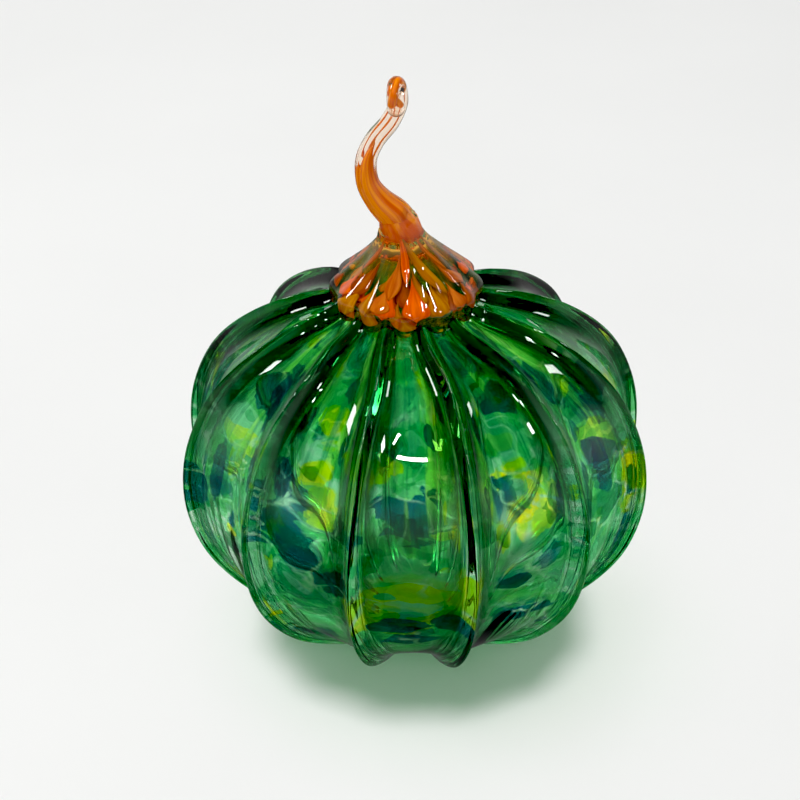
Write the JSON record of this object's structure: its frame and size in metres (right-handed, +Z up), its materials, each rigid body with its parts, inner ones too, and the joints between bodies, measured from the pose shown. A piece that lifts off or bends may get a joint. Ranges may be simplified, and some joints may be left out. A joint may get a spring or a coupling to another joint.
{
  "type": "glass pumpkin",
  "caption": "Hand-blown glass pumpkin ornament with a hollow ribbed green body and an applied amber glass stem that ends in a curled tail; stands on a small flat base.",
  "frame": {"origin": "on the table under the middle of the ribbed body, in the plane of its flat base", "axes": "+Z up through the body towards the stem's tail; the front, -Y, has a valley between ribs in its middle, and the tail bows towards -X"},
  "size_m": [0.111, 0.111, 0.1493],
  "materials": {
    "green_glass": "clear casing over emerald, dark teal, chartreuse and mint colour chips, fire-polished",
    "amber_glass": "clear glass with drawn-out orange, ochre and salmon colour drops, fire-polished"
  },
  "bodies": {
    "root": {"pumpkin_body": "green_glass", "stem": "amber_glass"}
  },
  "joints": []
}
